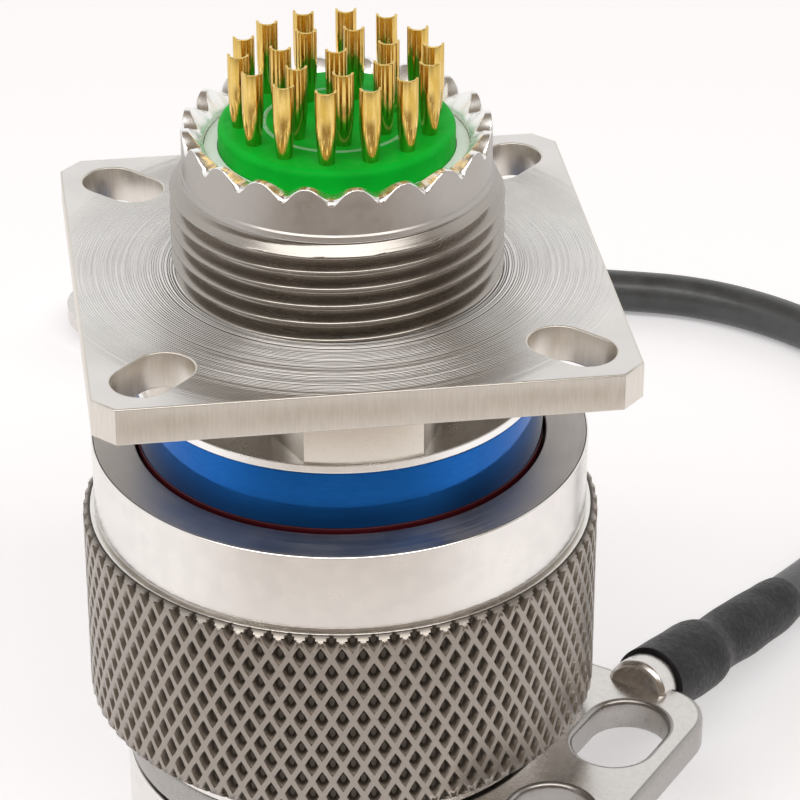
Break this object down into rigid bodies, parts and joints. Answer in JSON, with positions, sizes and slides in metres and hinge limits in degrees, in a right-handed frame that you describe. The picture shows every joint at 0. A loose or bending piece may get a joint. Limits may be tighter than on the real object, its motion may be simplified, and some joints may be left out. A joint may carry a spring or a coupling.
{
  "type": "circular connector receptacle with screw cap",
  "caption": "Square-flange circular connector receptacle with gold solder cups, standing on its knurled screw cap, whose swivel ring carries a coated rope lanyard.",
  "frame": {"origin": "on the coupling axis, at the underside of the cap's end plate, so the part stands on z = 0", "axes": "+Z along the coupling axis, from the cap to the solder cups; the flange's sides run along X and Y"},
  "size_m": [0.0604, 0.0818, 0.0487],
  "materials": {
    "plated_shell": "nickel-plated, brushed sides and turned faces",
    "plated_cap": "satin nickel plate",
    "ring_steel": "satin",
    "gold": "gold-plated copper alloy",
    "green_resin": "glossy",
    "dark_resin": "matte",
    "white_resin": "matte",
    "grey_rubber": "matte",
    "black_rubber": "matte",
    "blue_paint": "satin paint",
    "red_paint": "satin paint",
    "rope_coat": "satin black coating over twisted rope",
    "black_sleeve": "shrunk sleeve, satin"
  },
  "bodies": {
    "lanyard": {"swivel_ring": "ring_steel", "lanyard_rope": "rope_coat", "near_sleeve": "black_sleeve", "far_sleeve": "black_sleeve", "far_terminal": "ring_steel"},
    "cap": {"cap_shell": "plated_cap", "cap_gasket": "black_rubber", "cap_end_plate": "plated_cap"},
    "receptacle": {"receptacle_shell": "plated_shell", "blue_band": "blue_paint", "red_band": "red_paint", "rear_insert": "green_resin", "retaining_ring": "white_resin", "contact_insert": "dark_resin", "interface_seal": "grey_rubber", "contact_01": "gold", "contact_02": "gold", "contact_03": "gold", "contact_04": "gold", "contact_05": "gold", "contact_06": "gold", "contact_07": "gold", "contact_08": "gold", "contact_09": "gold", "contact_10": "gold", "contact_11": "gold", "contact_12": "gold", "contact_13": "gold", "contact_14": "gold", "contact_15": "gold", "contact_16": "gold", "contact_17": "gold", "contact_18": "gold", "contact_19": "gold", "contact_20": "gold", "contact_21": "gold", "contact_22": "gold"}
  },
  "joints": [
    {"name": "cap_turn", "type": "hinge", "parent": "lanyard", "child": "cap", "pos_m": [0, 0, 0], "axis": [0, 0, -1], "range_deg": [0, 1080]},
    {"name": "receptacle_lift", "type": "slide", "parent": "lanyard", "child": "receptacle", "axis": [0, 0, 1], "range_m": [0, 0.02286]}
  ],
  "couplings": [
    {"joint": "receptacle_lift", "follows": "cap_turn", "m_per_rad": 0.0012128}
  ]
}
